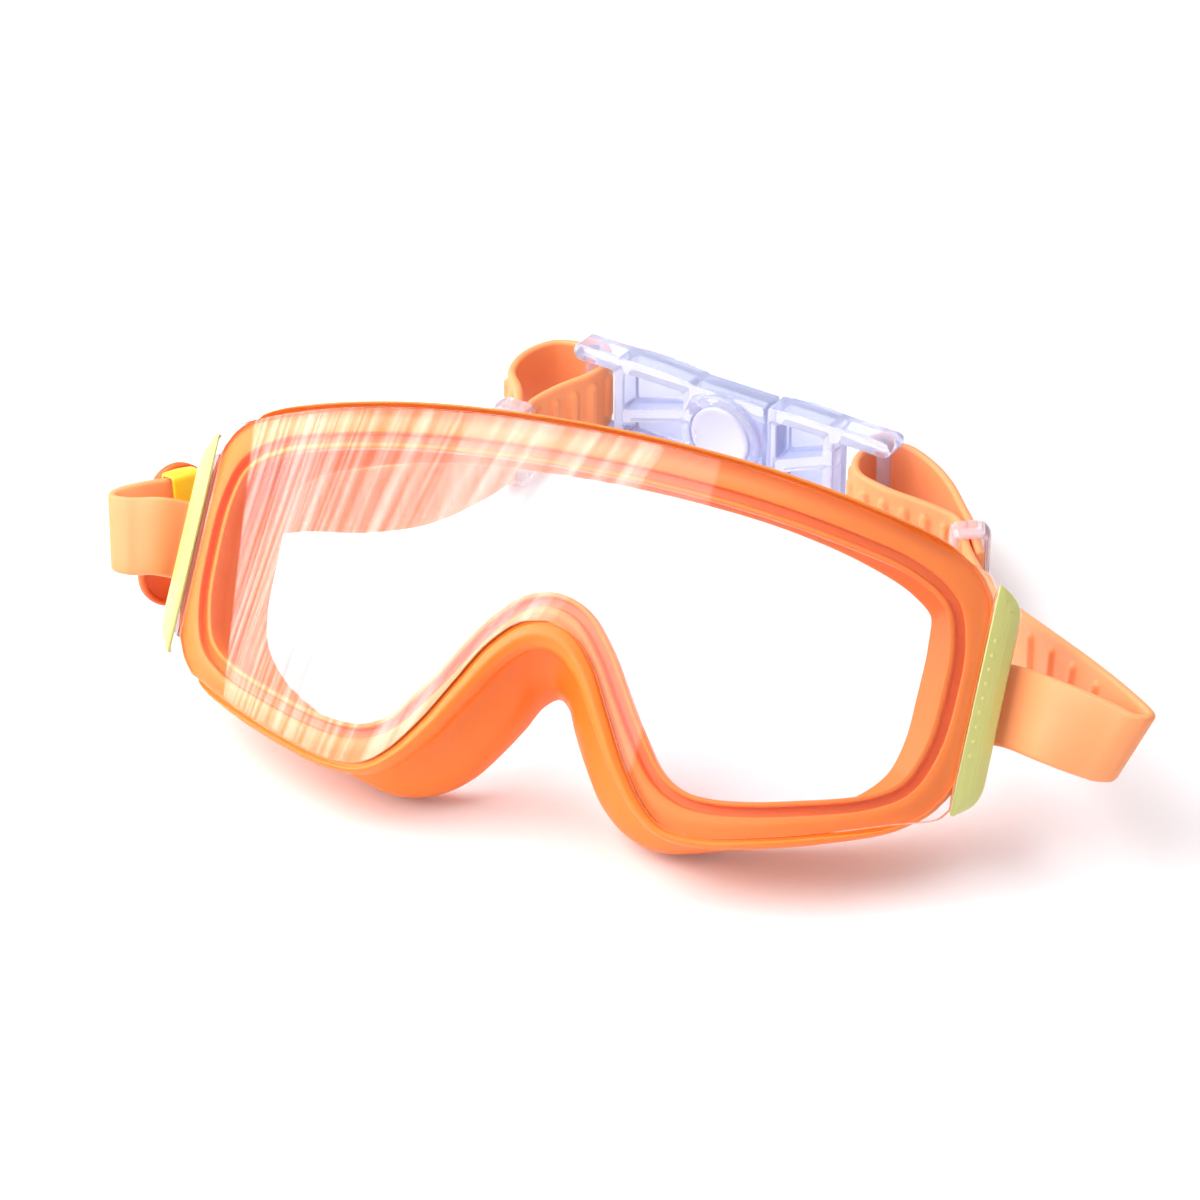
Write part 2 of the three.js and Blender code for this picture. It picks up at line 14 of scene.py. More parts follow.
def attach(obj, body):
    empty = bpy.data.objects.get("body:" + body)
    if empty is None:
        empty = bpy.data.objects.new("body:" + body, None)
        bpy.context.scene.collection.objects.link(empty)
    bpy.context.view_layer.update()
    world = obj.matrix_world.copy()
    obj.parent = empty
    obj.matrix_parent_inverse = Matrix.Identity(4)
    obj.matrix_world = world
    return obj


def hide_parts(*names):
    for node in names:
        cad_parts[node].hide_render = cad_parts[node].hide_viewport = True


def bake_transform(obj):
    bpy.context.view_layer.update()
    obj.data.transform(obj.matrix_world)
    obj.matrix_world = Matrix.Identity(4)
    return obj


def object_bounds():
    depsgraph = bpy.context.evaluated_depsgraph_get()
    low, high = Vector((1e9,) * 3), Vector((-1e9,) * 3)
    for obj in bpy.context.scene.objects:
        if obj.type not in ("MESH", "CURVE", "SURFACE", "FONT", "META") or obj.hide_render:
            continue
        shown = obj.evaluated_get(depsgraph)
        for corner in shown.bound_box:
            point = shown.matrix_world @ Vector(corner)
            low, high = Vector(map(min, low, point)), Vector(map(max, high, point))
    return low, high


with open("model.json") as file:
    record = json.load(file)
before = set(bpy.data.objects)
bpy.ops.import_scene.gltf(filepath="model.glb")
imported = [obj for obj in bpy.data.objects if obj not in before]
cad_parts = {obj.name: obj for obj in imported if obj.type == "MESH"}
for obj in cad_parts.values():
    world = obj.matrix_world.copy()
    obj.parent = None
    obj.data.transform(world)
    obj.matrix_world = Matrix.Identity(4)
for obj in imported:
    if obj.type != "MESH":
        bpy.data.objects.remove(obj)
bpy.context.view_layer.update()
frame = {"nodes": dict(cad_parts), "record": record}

# ------------------------------------------------------------------ frames
MM = 0.001
LEAN = math.radians(39.2)
LIFT = 44.0
FOLD_LEFT = Vector((-90.45, 12.4, 29.45))
BUCKLE_AT = Vector((-5.0, 117.0, 0.0))
BUCKLE_YAW = math.radians(-13)


def joint_place(name):
    joints = frame["record"]["behaviour"]["joints"]
    found = next(joint for joint in joints if joint["name"] == name)
    return Vector(found["pos_m"])


TABLE = Matrix.Translation(joint_place("strap_left_swing") - FOLD_LEFT * MM) @ Matrix.Scale(MM, 4)
MASK = TABLE @ Matrix.Translation((0, 0, LIFT)) @ Matrix.Rotation(-LEAN, 4, "X")
BUCKLE = TABLE @ Matrix.Translation(BUCKLE_AT) @ Matrix.Rotation(BUCKLE_YAW, 4, "Z")


# ------------------------------------------------------------------ camera, light and floor
def aim(obj, place, target):
    obj.location = place
    obj.rotation_euler = (target - place).to_track_quat("-Z", "Y").to_euler()


def add_camera():
    azimuth = math.radians(20.3)
    elevation = math.radians(32.6)
    distance = 0.7986
    target = TABLE @ Vector((8.2, 2.3, 43.1))
    away = Vector((math.sin(azimuth) * math.cos(elevation), -math.cos(azimuth) * math.cos(elevation),
                   math.sin(elevation)))
    data = bpy.data.cameras.new("camera")
    data.lens = 135
    data.sensor_width = 36
    data.clip_start = 0.01
    camera = bpy.data.objects.new("camera", data)
    bpy.context.scene.collection.objects.link(camera)
    aim(camera, target + away * distance, target)
    bpy.context.scene.camera = camera


def add_area(name, place, target, width, height, watts, color=(1, 1, 1)):
    data = bpy.data.lights.new(name, "AREA")
    data.shape = "RECTANGLE"
    data.size = width
    data.size_y = height
    data.energy = watts
    data.color = color
    light = bpy.data.objects.new(name, data)
    bpy.context.scene.collection.objects.link(light)
    aim(light, Vector(place), Vector(target))
    return light


def streak(tree):
    """Light that comes through narrow upright gaps of uneven width, as past a slatted blind."""
    place = tree.nodes.new("ShaderNodeNewGeometry")
    stretch = tree.nodes.new("ShaderNodeMapping")
    stretch.inputs["Scale"].default_value = (1, 0.03, 1)
    tree.links.new(place.outputs["Parametric"], stretch.inputs["Vector"])
    gaps = tree.nodes.new("ShaderNodeTexNoise")
    gaps.inputs["Scale"].default_value = 62
    gaps.inputs["Detail"].default_value = 5
    gaps.inputs["Roughness"].default_value = 0.75
    tree.links.new(stretch.outputs["Vector"], gaps.inputs["Vector"])
    level = tree.nodes.new("ShaderNodeMapRange")
    level.inputs["From Min"].default_value = 0.42
    level.inputs["From Max"].default_value = 0.62
    level.inputs["To Min"].default_value = 0.4
    level.inputs["To Max"].default_value = 2.6
    tree.links.new(gaps.outputs["Fac"], level.inputs["Value"])
    tree.links.new(level.outputs["Result"], tree.nodes["Emission"].inputs["Strength"])


def around(middle, azimuth, elevation, distance):
    turn = math.radians(azimuth)
    rise = math.radians(elevation)
    return middle + Vector((math.sin(turn) * math.cos(rise), -math.cos(turn) * math.cos(rise),
                            math.sin(rise))) * distance


def add_lights():
    middle = TABLE @ Vector((0, 20, 40))
    # Both panels are mirrored in the lens: the streaks in its left third, the plain one up to its middle.
    panel = add_area("streak_panel", around(middle, -76, 44, 0.5), middle, 0.8, 0.56, 4.2, (1, 0.985, 0.96))
    panel.data.use_nodes = True
    streak(panel.data.node_tree)
    add_area("plain_panel", around(middle, -24, 46, 0.9), middle, 0.36, 0.9, 1.7)
    add_area("soft_top", around(middle, 150, 70, 1.1), middle, 1.0, 0.8, 4)
    world = bpy.data.worlds.new("world")
    bpy.context.scene.world = world
    world.use_nodes = True
    background = world.node_tree.nodes["Background"]
    background.inputs["Color"].default_value = (0.95, 0.96, 1.0, 1)
    background.inputs["Strength"].default_value = 0.5
    bpy.context.scene.view_settings.view_transform = "Standard"


# ------------------------------------------------------------------ materials
def shader(name):
    material = bpy.data.materials.new(name)
    material.use_nodes = True
    tree = material.node_tree
    return material, tree, tree.nodes["Principled BSDF"]


def noise(tree, scale, detail=3.0):
    place = tree.nodes.new("ShaderNodeTexCoord")
    texture = tree.nodes.new("ShaderNodeTexNoise")
    texture.inputs["Scale"].default_value = scale
    texture.inputs["Detail"].default_value = detail
    tree.links.new(place.outputs["Object"], texture.inputs["Vector"])
    return texture.outputs["Fac"]


def mapped(tree, value, low, high):
    ramp = tree.nodes.new("ShaderNodeMapRange")
    ramp.inputs["From Min"].default_value = 0.3
    ramp.inputs["From Max"].default_value = 0.7
    ramp.inputs["To Min"].default_value = low
    ramp.inputs["To Max"].default_value = high
    tree.links.new(value, ramp.inputs["Value"])
    return ramp.outputs["Result"]


def tone(tree, value, color_a, color_b):
    mix = tree.nodes.new("ShaderNodeMix")
    mix.data_type = "RGBA"
    mix.inputs["A"].default_value = (*color_a, 1)
    mix.inputs["B"].default_value = (*color_b, 1)
    tree.links.new(value, mix.inputs["Factor"])
    return mix.outputs["Result"]


def grain(tree, bsdf, scale, strength, distance=0.0002):
    bump = tree.nodes.new("ShaderNodeBump")
    bump.inputs["Strength"].default_value = strength
    bump.inputs["Distance"].default_value = distance
    tree.links.new(noise(tree, scale, 2), bump.inputs["Height"])
    tree.links.new(bump.outputs["Normal"], bsdf.inputs["Normal"])


def moulded(name, color_a, color_b, rough=(0.35, 0.5), glow=0.0):
    """Moulded silicone or plastic: slow colour drift, uneven gloss and a fine skin."""
    material, tree, bsdf = shader(name)
    tree.links.new(tone(tree, noise(tree, 35), color_a, color_b), bsdf.inputs["Base Color"])
    tree.links.new(mapped(tree, noise(tree, 220), *rough), bsdf.inputs["Roughness"])
    grain(tree, bsdf, 1800, 0.12)
    bsdf.inputs["Subsurface Weight"].default_value = glow
    bsdf.inputs["Subsurface Radius"].default_value = (1.0, 0.45, 0.2)
    bsdf.inputs["Subsurface Scale"].default_value = 0.003
    return material


def clear(name, tint, rough=(0.01, 0.05), ior=1.49, share=1.0):
    """Clear or, with a smaller share, milky plastic; it lets the lamps through to what is behind it."""
    material, tree, bsdf = shader(name)
    bsdf.inputs["Base Color"].default_value = (*tint, 1)
    bsdf.inputs["Transmission Weight"].default_value = share
    bsdf.inputs["IOR"].default_value = ior
    tree.links.new(mapped(tree, noise(tree, 90), *rough), bsdf.inputs["Roughness"])
    path = tree.nodes.new("ShaderNodeLightPath")
    open_shader = tree.nodes.new("ShaderNodeBsdfTransparent")
    open_shader.inputs["Color"].default_value = (*tint, 1)
    mix = tree.nodes.new("ShaderNodeMixShader")
    tree.links.new(path.outputs["Is Shadow Ray"], mix.inputs["Fac"])
    tree.links.new(bsdf.outputs["BSDF"], mix.inputs[1])
    tree.links.new(open_shader.outputs["BSDF"], mix.inputs[2])
    tree.links.new(mix.outputs["Shader"], tree.nodes["Material Output"].inputs["Surface"])
    return material


MATERIALS = {
    "lens": clear("clear_lens", (0.955, 0.955, 0.98), (0.0, 0.02)),
    "fitting": clear("clear_fitting", (0.88, 0.76, 0.8), (0.05, 0.16), share=0.8),
    "buckle": clear("clear_buckle", (0.7, 0.73, 0.88), (0.04, 0.14), share=0.74),
    "button": clear("frosted_button", (0.72, 0.75, 0.88), (0.12, 0.28), share=0.4),
    "skirt": moulded("skirt_silicone", (0.9, 0.19, 0.012), (0.93, 0.22, 0.02), (0.32, 0.46), 0.08),
    "strap": moulded("strap_silicone", (0.9, 0.3, 0.11), (0.93, 0.34, 0.13), (0.4, 0.55), 0.12),
    "clip": moulded("yellow_green_plastic", (0.62, 0.62, 0.2), (0.67, 0.67, 0.23), (0.28, 0.36)),
    "yellow": moulded("yellow_plastic", (0.88, 0.55, 0.012), (0.92, 0.6, 0.02), (0.3, 0.42)),
    "tab": moulded("deep_orange_plastic", (0.72, 0.1, 0.006), (0.78, 0.125, 0.01), (0.35, 0.5), 0.03),
    "pin": moulded("brushed_steel", (0.55, 0.56, 0.58), (0.66, 0.67, 0.7), (0.22, 0.35)),
}
MATERIALS["pin"].node_tree.nodes["Principled BSDF"].inputs["Metallic"].default_value = 1


# ------------------------------------------------------------------ mesh helpers
def add_mesh(name, points, faces, to_row, material, body=None):
    mesh = bpy.data.meshes.new(name)
    mesh.from_pydata([to_row @ Vector(point) for point in points], [], faces)
    work = bmesh.new()
    work.from_mesh(mesh)
    bmesh.ops.remove_doubles(work, verts=work.verts, dist=1e-7)
    bmesh.ops.recalc_face_normals(work, faces=work.faces)
    work.to_mesh(mesh)
    work.free()
    mesh.materials.append(MATERIALS[material])
    for polygon in mesh.polygons:
        polygon.use_smooth = True
    obj = bpy.data.objects.new(name, mesh)
    bpy.context.scene.collection.objects.link(obj)
    if body:
        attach(obj, body)
    return obj


def grid(rows, close_rows=True, close_columns=True, caps=False):
    """Points and faces of a net of rows of equally many points."""
    count = len(rows)
    width = len(rows[0])
    points = [point for row in rows for point in row]
    faces = []
    for i in range(count if close_rows else count - 1):
        for j in range(width if close_columns else width - 1):
            a = i * width + j
            b = i * width + (j + 1) % width
            c = ((i + 1) % count) * width + (j + 1) % width
            d = ((i + 1) % count) * width + j
            faces.append((a, b, c, d))
    if caps:
        faces.append(tuple(range(width)))
        faces.append(tuple((count - 1) * width + j for j in range(width)))
    return points, faces


def rounded(corners, radii, steps=4):
    """A closed run of points with each corner rounded off by its own radius."""
    points = []
    count = len(corners)
    for i, corner in enumerate(corners):
        radius = radii[i]
        before = corners[i - 1] - corner
        after = corners[(i + 1) % count] - corner
        start = corner + before.normalized() * min(radius, before.length * 0.48)
        end = corner + after.normalized() * min(radius, after.length * 0.48)
        for k in range(steps + 1):
            w = k / steps
            points.append(start * (1 - w) ** 2 + corner * 2 * w * (1 - w) + end * w ** 2)
    return points


def catmull(points, t, closed=False):
    """A place on the centripetal Catmull-Rom curve through the points; t runs from 0 to 1 over it."""
    count = len(points)
    spans = count if closed else count - 1
    at = (t % 1 if closed else min(max(t, 0), 1)) * spans
    i = min(int(at), spans - 1)
    w = at - i
    if closed:
        p0, p1, p2, p3 = (points[(i + k) % count] for k in (-1, 0, 1, 2))
    else:
        p1, p2 = points[i], points[i + 1]
        p0 = points[i - 1] if i > 0 else p1 * 2 - p2
        p3 = points[i + 2] if i + 2 < count else p2 * 2 - p1
    d0, d1, d2 = (max((b - a).length, 1e-9) ** 0.5 for a, b in ((p0, p1), (p1, p2), (p2, p3)))
    t1 = ((p1 - p0) / d0 - (p2 - p0) / (d0 + d1) + (p2 - p1) / d1) * d1
    t2 = ((p2 - p1) / d1 - (p3 - p1) / (d1 + d2) + (p3 - p2) / d2) * d1
    return (p1 + t1 * w + (p1 * -3 + p2 * 3 - t1 * 2 - t2) * w ** 2
            + (p1 * 2 - p2 * 2 + t1 + t2) * w ** 3)


def bevel(obj, width, angle):
    modifier = obj.modifiers.new("bevel", "BEVEL")
    modifier.width = width * MM
    modifier.segments = 3
    modifier.limit_method = "ANGLE"
    modifier.angle_limit = math.radians(angle)
    modifier.harden_normals = True
    return obj


def smoothstep(low, high, value):
    w = min(max((value - low) / (high - low), 0), 1)
    return w * w * (3 - 2 * w)


# ------------------------------------------------------------------ mask outlines, as in the solids
LENS_HALF = 75.0
LENS_THICK = 2.0
GAP = 0.35
BEAD_GAP = 0.55
RIM_DEPTH = 4.7
FLANGE_BACK = 4.2
LENS_EDGE = [
    (0, 30.1), (18, 29.6), (36, 28.1), (54, 25.2), (66, 22.3), (73, 18), (75, 10), (75, -2), (75, -14),
    (73, -21.8), (66, -27.4), (54, -32), (44.5, -34.9), (35.5, -36.8), (28.7, -36.3), (24.2, -33.1),
    (19, -26.3), (14.7, -19), (9.8, -10.9), (4.9, -6.2), (0, -4.9),
]
LIP_EDGE = [
    (0, 22.9), (16, 22.5), (33, 21.2), (49.5, 18.8), (60, 16.4), (66.4, 12.6), (68.6, 6.5), (69, -3),
    (68.2, -12.5), (65.5, -19.5), (60.2, -23.2), (49, -26.9), (41.8, -28.7), (35.6, -29.6), (30.6, -29.3),
    (26.2, -27), (21, -20.6), (17, -14.6), (12.2, -7.4), (6.4, -1.4), (0, 0.6),
]
MID_WALL = [
    (0, 29.6), (18, 29), (36, 27.3), (53, 24), (64, 20), (69.6, 15.6), (70.8, 8), (70.8, -2), (70.4, -12),
    (68, -20.5), (61, -27.5), (51, -32.6), (41, -36.2), (31.5, -39.6), (24.5, -40.9), (18.3, -38.9),
    (13, -34.6), (9, -28.8), (5.4, -22.6), (2.8, -17.6), (0, -15.6),
]
REAR_EDGE = [
    (0, 27.5), (17, 27), (34, 25.4), (50, 22), (60, 18), (65.2, 13.4), (66.3, 6.5), (66.3, -3),
    (65.8, -12.5),
    (63.5, -20), (57.5, -26.6), (48.5, -31.6), (39.5, -35.3), (31, -38.5), (24.4, -39.5), (18, -38.1),
    (12.6, -34.3), (8.6, -29.4), (5, -23.9), (2.5, -19.4), (0, -17.6),
]
BEAD_REACH = [
    1.4, 1.4, 1.4, 1.4, 1.0, -0.2, 0.25, 0.25, 0.25, -0.2, 1.0, 1.6, 1.6, 1.7, 2, 2.5, 3.2, 3.6, 4.2, 4.8,
    5,
]
OUTLINE_STEPS = 320


def wrap(x):
    u = abs(x) / LENS_HALF
    if u <= 1:
        return 7.51 * u ** 2 + 8.04 * u ** 4
    return 15.55 + (2 * 7.51 + 4 * 8.04) * (u - 1)


class Outline:
    """A closed outline through a half table and its mirror image, with its outward directions."""

    def __init__(self, half):
        right = [Vector((x, 0, z)) for x, z in half]
        left = [Vector((-x, 0, z)) for x, z in reversed(half[1:-1])]
        whole = right + left
        self.points = [catmull(whole, i / OUTLINE_STEPS, True) for i in range(OUTLINE_STEPS)]
        self.outward = []
        for i in range(OUTLINE_STEPS):
            along = self.points[(i + 1) % OUTLINE_STEPS] - self.points[i - 1]
            self.outward.append(Vector((-along.z, 0, along.x)).normalized())

    def at(self, i, distance):
        return self.points[i] + self.outward[i] * distance


EDGE, LIP, MID, REAR = (Outline(half) for half in (LENS_EDGE, LIP_EDGE, MID_WALL, REAR_EDGE))


def bead_reach(i):
    """How far the skirt stands out past the lens edge; at the lens ends it stops just inside it."""
    steps = 2 * (len(BEAD_REACH) - 1)
    at = i / OUTLINE_STEPS * steps
    low = int(at)

    def row(k):
        k %= steps
        return BEAD_REACH[k if k < len(BEAD_REACH) else steps - k]

    return row(low) + (row(low + 1) - row(low)) * (at - low)


# ------------------------------------------------------------------ lens
def brow_edge(x):
    u = x / LENS_HALF
    return 30.14 - 8.17 * u ** 2 - 2.97 * u ** 4 + 0.32 * u ** 8


def lens_columns():
    """x, lowest and highest z of the lens, from the middle to the right end."""
    cheek = [Vector((75, 0, -22.4)), Vector((73.4, 0, -24.5))]
    cheek += [Vector((x, 0, z)) for x, z in LENS_EDGE[10:]]
    lower = [catmull(cheek, i / 160) for i in range(161)]
    columns = []
    for point in reversed(lower):
        corner = 1.6 * smoothstep(LENS_HALF - 2.2, LENS_HALF, point.x) ** 2
        columns.append((point.x, point.z, brow_edge(point.x) - corner))
    return columns


def add_lens():
    right = lens_columns()
    columns = [(-x, low, high) for x, low, high in reversed(right[1:])] + right
    height_steps = 14
    rows = []
    for x, low, high in columns:
        heights = [low + (high - low) * k / height_steps for k in range(height_steps + 1)]
        front = [(x, wrap(x), z) for z in heights]
        back = [(x, wrap(x) + LENS_THICK, z) for z in reversed(heights)]
        rows.append(front + back)
    points, faces = grid(rows, close_rows=False)
    width = len(rows[0])
    for start in (0, (len(rows) - 1) * width):
        for k in range(height_steps):
            faces.append((start + k, start + k + 1, start + width - 2 - k, start + width - 1 - k))
    plate = bevel(add_mesh("lens_plate", points, faces, MASK, "lens", "mask"), 0.45, 40)
    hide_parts("lens")


# ------------------------------------------------------------------ skirt
def wall_back(x):
    return 13 + 10.5 * (x / 70.8) ** 2


def seal_back(x):
    return 20 + 8 * (x / 66.3) ** 2


def skirt_section(i):
    reach = bead_reach(i)
    raised = smoothstep(0.7, 1.3, reach)
    bead_front = LENS_THICK + GAP - 1.7 * raised
    bead_inner = min(BEAD_GAP, reach - 0.5)

    def behind(outline, distance, depth):
        point = outline.at(i, distance)
        point.y = wrap(point.x) + depth
        return point

    def at_back(outline, distance, back, extra):
        point = outline.at(i, distance)
        point.y = back(point.x) + extra
        return point

    flange_in = behind(LIP, 2.7, LENS_THICK + GAP)
    flange_out = behind(EDGE, bead_inner, LENS_THICK + GAP)
    flange_mid = flange_in * 0.62 + flange_out * 0.38
    flange_out.y += 0.9
    flange_in.y += 0.35
    corners = [
        (behind(LIP, 2.7, RIM_DEPTH + GAP), 0.3),
        (flange_in, 0.5),
        (flange_mid, 2.4),
        (flange_out, 0.6),
        (behind(EDGE, bead_inner, bead_front + 0.3), 0.4),
        (behind(EDGE, (bead_inner + reach) / 2, bead_front - 0.5 * raised), 1.2),
        (behind(EDGE, reach, bead_front + 0.9), 1.5),
        (behind(EDGE, reach, FLANGE_BACK), 1.2),
        (behind(EDGE, reach - 1, FLANGE_BACK + 2.4), 2.0),
        (at_back(MID, 0, wall_back, 0), 5.0),
        (at_back(REAR, 0, seal_back, 0), 2.2),
        (at_back(REAR, -4, seal_back, 1), 0.6),
        (at_back(REAR, -4, seal_back, -0.4), 0.6),
        (at_back(MID, -2.2, wall_back, 1), 3.0),
        (behind(LIP, 0, 6.5), 1.5),
        (behind(LIP, 0, LENS_THICK + 3 * GAP), 0.45),
        (behind(LIP, 1.0, LENS_THICK + 3 * GAP), 0.45),
        (behind(LIP, 1.0, RIM_DEPTH + GAP), 0.3),
    ]
    return rounded([corner for corner, _ in corners], [radius for _, radius in corners], 4)


def add_skirt():
    rows = [skirt_section(i) for i in range(OUTLINE_STEPS)]
    skirt = add_mesh("face_skirt", *grid(rows), MASK, "skirt", "mask")
    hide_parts("skirt")


# ------------------------------------------------------------------ clips
CLIP_OUTLINE = [
    (75.35, 18.6, 0.4), (77.4, 17.4, 1.2), (79, 15.6, 1.5), (79.5, 13.4, 1.5), (79.5, -17.6, 1.5),
    (78.8, -20.2, 1.5), (77, -22.1, 1.2), (75.35, -23.4, 0.4),
]
CLIP_THICK = 2.2
PIN_X = 76.3
PIN_BACK = 24.2


def inset(outline, distance):
    """The outline moved inwards by a distance, for an outline that bulges everywhere."""
    count = len(outline)
    moved = []
    for i, point in enumerate(outline):
        along = (outline[(i + 1) % count] - outline[i - 1]).normalized()
        moved.append(point + Vector((-along.z, 0, along.x)) * -distance)
    return moved


def add_clip(word, side):
    outline = rounded([Vector((x, 0, z)) for x, z, _ in CLIP_OUTLINE], [r for _, _, r in CLIP_OUTLINE], 3)
    # (inset, depth behind the lens front) from the back face round the outer edge and its chamfer
    rings = [(0.4, CLIP_THICK), (0, CLIP_THICK - 0.4), (0, 1.05), (0.12, 0.85), (1.15, 0.12), (1.4, 0)]
    rows = []
    for distance, depth in rings:
        row = []
        for point, moved in zip(outline, inset(outline, distance)):
            share = smoothstep(75.6, 78.2, point.x)
            place = point.lerp(moved, share)
            row.append((side * place.x, wrap(place.x) + depth * share + (1 - share) * min(depth, CLIP_THICK)
                        * (depth > 1), place.z))
        rows.append(row)
    clip = add_mesh(f"clip_cover_{word}", *grid(rows, close_rows=False, caps=True), MASK, "clip", "mask")
    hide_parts(f"clip_{word}")
    add_pips(word, side)


def add_pips(word, side):
    """A column of small domed pips on the clip's front panel."""
    points = []
    faces = []
    for k in range(9):
        middle_x = 76.7
        middle_z = 8.5 - 2.6 * k
        ring_steps = 16
        for radius, rise in ((0.42, -0.1), (0.36, 0.03), (0.22, 0.07), (0.05, 0.08)):
            for j in range(ring_steps):
                turn = 2 * math.pi * j / ring_steps
                x = middle_x + radius * math.cos(turn)
                points.append((side * x, wrap(x) - rise, middle_z + 1.2 * radius * math.sin(turn)))
        base = len(points) - 4 * ring_steps
        for ring in range(3):
            for j in range(ring_steps):
                a = base + ring * ring_steps + j
                b = base + ring * ring_steps + (j + 1) % ring_steps
                faces.append((a, b, b + ring_steps, a + ring_steps))
        faces.append(tuple(base + 3 * ring_steps + j for j in range(ring_steps)))
        faces.append(tuple(base + j for j in reversed(range(ring_steps))))
    pips = add_mesh(f"clip_pips_{word}", points, faces, MASK, "clip", "mask")


def finish_hidden_fittings():
    """The clip bases and pins keep their solids and get their own materials."""
    for word in ("left", "right"):
        for node, material in ((f"clip_base_{word}", "fitting"), (f"anchor_pin_{word}", "pin")):
            obj = frame["nodes"][node]
            obj.data.materials.clear()
            obj.data.materials.append(MATERIALS[material])


# ------------------------------------------------------------------ straps
STRAP_WIDTH = 14.8
KEEPER_Z = 9.5
LOOP_Z = 10.9
LEAN_Y = math.tan(LEAN)
LEFT_FOLD = [
    (-84.6, 14.2, 29.6, -0.15, 0.8), (-88.4, 12.8, 29.5, -0.3, 0.8), (-90, 12.4, 29.5, -0.33, 0.8),
]
LEFT_STRAP = [
    (-90.9, 12.3, 29.4, -0.34, 0.8), (-92.4, 12.7, 29.4, -0.35, 0.78), (-93.2, 14, 29.4, -0.36, 0.74),
    (-92.6, 15.6, 29.3, -0.34, 0.68), (-89.2, 19.6, 29, -0.25, 0.44),
    (-83.2, 27.2, 27.6, -0.15, 0.2), (-75, 38.4, 25, -0.08, 0.08), (-68.2, 47, 22.3), (-60.8, 55.6, 18.6),
    (-53, 69, 14.4), (-48.8, 85, 11),
    (-46.4, 97.3, KEEPER_Z), (-45.2, 104, KEEPER_Z), (-44.5, 108, KEEPER_Z),
    (-41.6, 113, 10.1), (-37.4, 118.4, 10.7), (-35.5, 122.6, LOOP_Z), (-35.7, 126, LOOP_Z),
    (-38.2, 128.1, LOOP_Z), (-42.4, 130, 10.8), (-48.8, 129.5, 10.5), (-53, 124, 10.2), (-53.4, 116.6, 9.8),
    (-49.7, 110.6, KEEPER_Z), (-47.6, 104.6, KEEPER_Z), (-48.6, 98.4, KEEPER_Z), (-49.4, 94.4, KEEPER_Z),
]
RIGHT_FOLD = [
    (89, 12, 29.9, 0.08, 0.66), (98.8, 10.1, 29.1, 0.34, 0.36), (100.9, 9.8, 28.8, 0.41, 0.28),
]
RIGHT_STRAP = [
    (101.8, 9.8, 28.7, 0.42, 0.26), (103.1, 10.3, 28.7, 0.44, 0.24), (103.7, 11.6, 28.6, 0.44, 0.22),
    (102.9, 13, 28.5, 0.42, 0.21), (97.6, 19, 27.9, 0.3, 0.17),
    (89, 29.6, 25.6, 0.12, 0.08), (80, 41, 22.4), (70.4, 52.4, 18.8), (62, 65.4, 14.8), (56.2, 77, 11.2),
    (52.6, 84.7, KEEPER_Z), (50.2, 90, KEEPER_Z), (48, 93.2, KEEPER_Z), (42, 95, 10), (32.5, 96.9, 10.6),
    (25.8, 100.4, LOOP_Z), (24, 106.4, LOOP_Z), (26.2, 112, LOOP_Z), (31.6, 113.8, 10.8), (38, 110.2, 10.5),
    (43.8, 104.2, 10.1), (48.6, 97.2, KEEPER_Z), (52.4, 91, KEEPER_Z), (54.9, 85.6, KEEPER_Z),
    (56.5, 82, KEEPER_Z),
]


def on_table(x, back, up):
    return Vector((x, back * math.cos(LEAN) + up * math.sin(LEAN),
                   up * math.cos(LEAN) - back * math.sin(LEAN) + LIFT))


def strap_edges(rows):
    top = []
    bottom = []
    for x, y, z, *lean in rows:
        lean_x, lean_y = lean or (0, 0)
        half = Vector((lean_x, lean_y, 1)).normalized() * (STRAP_WIDTH / 2)
        top.append(Vector((x, y, z)) + half)
        bottom.append(Vector((x, y, z)) - half)
    return top, bottom


def strap_stations(rows, spacing):
    """Centre, across, outward normal and length so far, at equal steps along the strap."""
    top, bottom = strap_edges(rows)
    samples = [i / STRAP_SAMPLES for i in range(STRAP_SAMPLES + 1)]
    fine = [(catmull(top, t) + catmull(bottom, t)) / 2 for t in samples]
    lengths = [0.0]
    for a, b in zip(fine, fine[1:]):
        lengths.append(lengths[-1] + (b - a).length)
    count = int(lengths[-1] / spacing)
    stations = []
    k = 0
    for i in range(count + 1):
        wanted = lengths[-1] * i / count
        while k < STRAP_SAMPLES - 1 and lengths[k + 1] < wanted:
            k += 1
        part = (wanted - lengths[k]) / max(lengths[k + 1] - lengths[k], 1e-9)
        t = (k + part) / STRAP_SAMPLES
        high, low = catmull(top, t), catmull(bottom, t)
        step = 0.0005
        ahead = (catmull(top, t + step) + catmull(bottom, t + step)) / 2
        behind = (catmull(top, t - step) + catmull(bottom, t - step)) / 2
        across = (high - low).normalized()
        normal = across.cross((ahead - behind).normalized()).normalized()
        stations.append(((high + low) / 2, across, normal, wanted))
    return stations


STRAP_SAMPLES = 2000
STATION_SPACING = 0.3
RIBBED_SIDE = 0.75
SMOOTH_SIDE = 1.0
EDGE_RADIUS = 0.8
RIB_RISE = 0.85
RIB_HALF = 1.35
RIB_END = 5.2


def rib_centres(zones):
    """Places of the ribs along the strap, for zones of (start, end, step)."""
    return [start + step * k for start, end, step in zones for k in range(int((end - start) / step) + 1)]


def rib_height(along, across, ribs):
    """Ribs stand on the head side of the strap and end, rounded, short of its edges."""
    past_end = max(abs(across) - RIB_END + RIB_HALF, 0)
    nearest = min(math.hypot(along - rib, past_end) for rib in ribs)
    return RIB_RISE * (1 - smoothstep(0.6, RIB_HALF, nearest))


